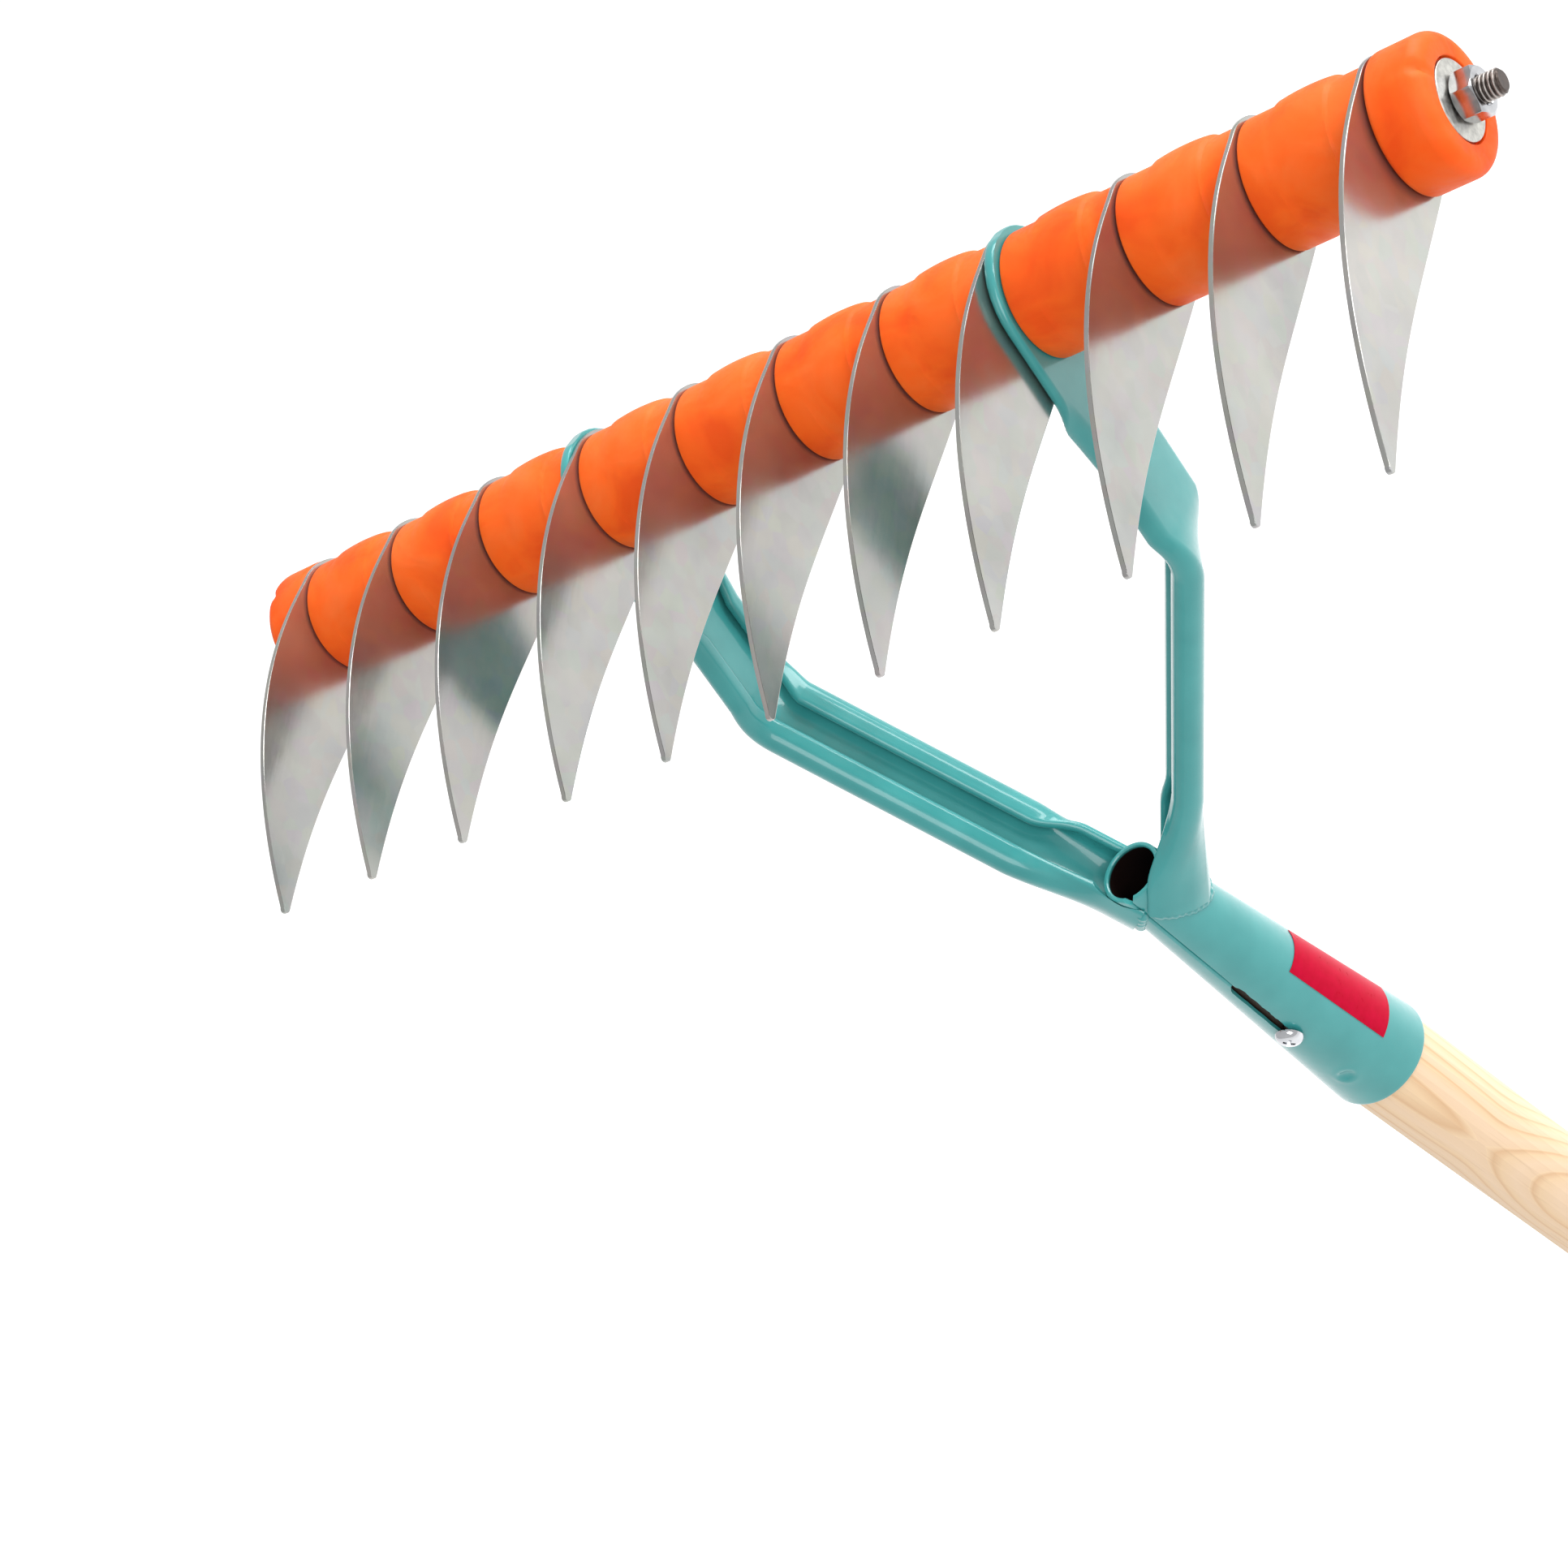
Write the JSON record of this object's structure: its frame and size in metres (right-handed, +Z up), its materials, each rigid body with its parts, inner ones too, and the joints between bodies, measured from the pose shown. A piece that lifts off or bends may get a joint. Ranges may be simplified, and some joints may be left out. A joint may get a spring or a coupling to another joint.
{
  "type": "aerator rake",
  "caption": "Long-handled aerator rake with curved steel blades and orange spacers on a threaded rod, a teal two-legged fork, a wooden handle and a dipped grip with a hanging cord.",
  "frame": {"origin": "on the handle's axis in the middle of the dipped grip, where a hand holds the rake", "axes": "+Z up the handle to the head, +X along the threaded rod, blade tips towards -Y"},
  "size_m": [0.3634, 0.1032, 1.5965],
  "materials": {
    "galvanised_steel": "semi-gloss galvanised sheet",
    "threaded_steel": "dull threaded rod",
    "zinc_plate": "bright zinc plate",
    "zinc_screw": "bright zinc plate",
    "spacer_plastic": "satin moulded plastic",
    "teal_paint": "gloss powder coat",
    "handle_wood": "sanded and bare",
    "grip_coat": "satin dipped coat",
    "cord_fibre": "twisted cord"
  },
  "bodies": {
    "handle_and_fork": {"wooden_handle": "handle_wood", "grip_sleeve": "grip_coat", "hanging_cord": "cord_fibre", "socket": "teal_paint", "socket_screw": "zinc_screw", "fork_leg_left": "teal_paint", "fork_leg_right": "teal_paint"},
    "head": {"threaded_rod": "threaded_steel", "blade_01": "galvanised_steel", "blade_02": "galvanised_steel", "blade_03": "galvanised_steel", "blade_04": "galvanised_steel", "blade_05": "galvanised_steel", "blade_06": "galvanised_steel", "blade_07": "galvanised_steel", "blade_08": "galvanised_steel", "blade_09": "galvanised_steel", "blade_10": "galvanised_steel", "blade_11": "galvanised_steel", "spacer_01": "spacer_plastic", "spacer_02": "spacer_plastic", "spacer_03": "spacer_plastic", "spacer_04": "spacer_plastic", "spacer_05": "spacer_plastic", "spacer_06": "spacer_plastic", "spacer_07": "spacer_plastic", "spacer_08": "spacer_plastic", "spacer_09": "spacer_plastic", "spacer_10": "spacer_plastic", "end_cap_left": "spacer_plastic", "washer_left": "zinc_plate", "nut_left": "zinc_plate", "end_cap_right": "spacer_plastic", "washer_right": "zinc_plate", "nut_right": "zinc_plate"}
  },
  "joints": [
    {"name": "head_tilt", "type": "hinge", "parent": "handle_and_fork", "child": "head", "pos_m": [0, 0.06, 1.4595], "axis": [1, 0, 0], "range_deg": [-90, 3]}
  ]
}
